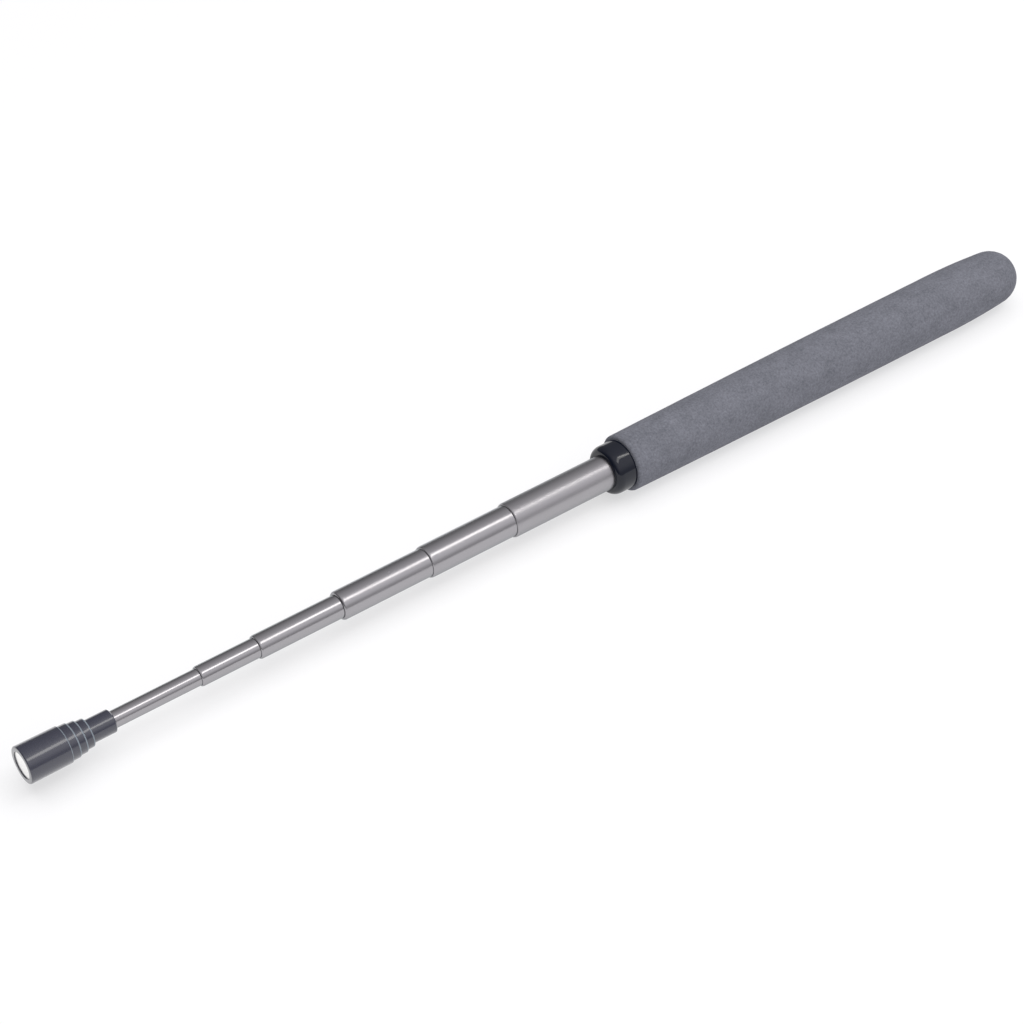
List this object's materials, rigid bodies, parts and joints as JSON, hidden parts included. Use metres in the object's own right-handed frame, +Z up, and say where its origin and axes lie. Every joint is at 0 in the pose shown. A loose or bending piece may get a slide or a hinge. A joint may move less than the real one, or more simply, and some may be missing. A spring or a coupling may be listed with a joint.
{
  "type": "telescoping magnetic pick-up tool",
  "caption": "Telescoping magnetic pick-up tool: round magnet in a black ringed head, nested polished steel tubes, black collar and a closed grey foam grip.",
  "frame": {"origin": "On the surface the tool lies on, under the middle of its length and of its width, partly extended as stored.", "axes": "+X runs along the tool from the magnet to the closed end of the grip; +Z is up; the tool's own axis is parallel to X."},
  "size_m": [0.3708, 0.02, 0.0199],
  "materials": {
    "foam": "matte closed-cell foam rubber with a fine grain",
    "steel_tube": "drawn steel, hidden under the grip",
    "black_plastic": "glossy black moulding",
    "plug_plastic": "plain black moulding",
    "plain_steel": "plain turned steel",
    "nickel": "bright nickel plate",
    "head_plastic": "glossy blue-black moulding",
    "polished_steel": "polished stainless tube with fine lengthwise draw lines",
    "sleeve_brass": "rolled brass strip"
  },
  "bodies": {
    "handle": {"foam_grip": "foam", "handle_tube": "steel_tube", "collar": "black_plastic", "end_plug": "plug_plastic"},
    "sleeve_1": {"friction_sleeve_1": "sleeve_brass"},
    "section_1": {"tube_1": "polished_steel"},
    "sleeve_2": {"friction_sleeve_2": "sleeve_brass"},
    "section_2": {"tube_2": "polished_steel"},
    "sleeve_3": {"friction_sleeve_3": "sleeve_brass"},
    "section_3": {"tube_3": "polished_steel"},
    "sleeve_4": {"friction_sleeve_4": "sleeve_brass"},
    "section_4": {"tube_4": "polished_steel"},
    "sleeve_5": {"friction_sleeve_5": "sleeve_brass"},
    "section_5": {"tube_5": "polished_steel"},
    "sleeve_6": {"friction_sleeve_6": "sleeve_brass"},
    "section_6": {"tube_6": "polished_steel", "head_stud": "plain_steel", "pole_cup": "plain_steel", "magnet": "nickel", "head_shell": "head_plastic"}
  },
  "joints": [
    {"name": "section_1_slide", "type": "slide", "parent": "handle", "child": "sleeve_1", "axis": [-1, 0, 0], "range_m": [-0.03433, 0.06937]},
    {"name": "section_1_swivel", "type": "hinge", "parent": "sleeve_1", "child": "section_1", "pos_m": [0.08839, 0, 0.00997], "axis": [-1, 0, 0], "continuous": true},
    {"name": "section_2_slide", "type": "slide", "parent": "section_1", "child": "sleeve_2", "axis": [-1, 0, 0], "range_m": [-0.02802, 0.07568]},
    {"name": "section_2_swivel", "type": "hinge", "parent": "sleeve_2", "child": "section_2", "pos_m": [0.05837, 0, 0.00997], "axis": [-1, 0, 0], "continuous": true},
    {"name": "section_3_slide", "type": "slide", "parent": "section_2", "child": "sleeve_3", "axis": [-1, 0, 0], "range_m": [-0.02826, 0.07544]},
    {"name": "section_3_swivel", "type": "hinge", "parent": "sleeve_3", "child": "section_3", "pos_m": [0.02811, 0, 0.00997], "axis": [-1, 0, 0], "continuous": true},
    {"name": "section_4_slide", "type": "slide", "parent": "section_3", "child": "sleeve_4", "axis": [-1, 0, 0], "range_m": [-0.02546, 0.07824]},
    {"name": "section_4_swivel", "type": "hinge", "parent": "sleeve_4", "child": "section_4", "pos_m": [0.00065, 0, 0.00997], "axis": [-1, 0, 0], "continuous": true},
    {"name": "section_5_slide", "type": "slide", "parent": "section_4", "child": "sleeve_5", "axis": [-1, 0, 0], "range_m": [-0.01679, 0.08691]},
    {"name": "section_5_swivel", "type": "hinge", "parent": "sleeve_5", "child": "section_5", "pos_m": [-0.01814, 0, 0.00997], "axis": [-1, 0, 0], "continuous": true},
    {"name": "section_6_slide", "type": "slide", "parent": "section_5", "child": "sleeve_6", "axis": [-1, 0, 0], "range_m": [-0.02503, 0.07867]},
    {"name": "section_6_swivel", "type": "hinge", "parent": "sleeve_6", "child": "section_6", "pos_m": [-0.04517, 0, 0.00997], "axis": [-1, 0, 0], "continuous": true}
  ]
}
